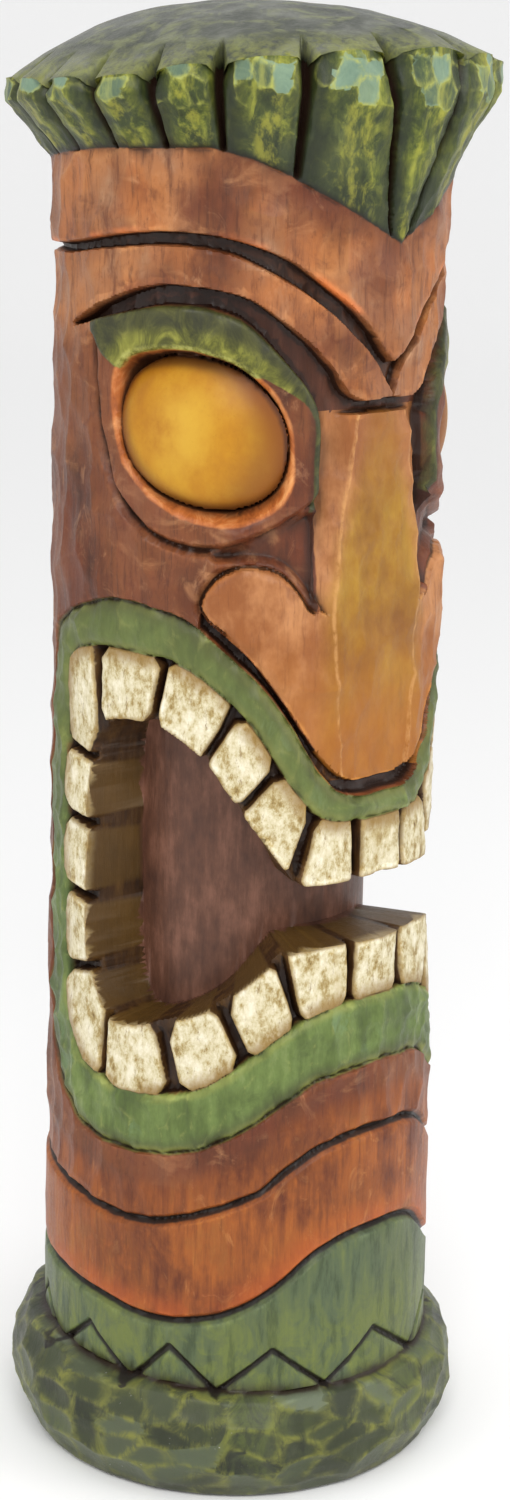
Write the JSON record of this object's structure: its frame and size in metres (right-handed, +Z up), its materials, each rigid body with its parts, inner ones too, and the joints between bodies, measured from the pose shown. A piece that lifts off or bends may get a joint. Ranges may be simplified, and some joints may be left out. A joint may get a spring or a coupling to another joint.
{
  "type": "tiki statue",
  "caption": "Tall carved-log tiki statue with a crown of leaves, bulging eyes, a long flat nose, a wide open toothed mouth and a round stone-like foot.",
  "frame": {"origin": "middle of the underside of the foot", "axes": "+Z up, the face looks along -Y, +X is the figure's left"},
  "size_m": [0.4974, 0.4978, 1.506],
  "materials": {
    "painted_resin": "cast resin painted by hand in orange-brown, green, amber and ivory over dark washes, under a satin varnish"
  },
  "bodies": {
    "root": {"tiki_statue": "painted_resin"}
  },
  "joints": []
}
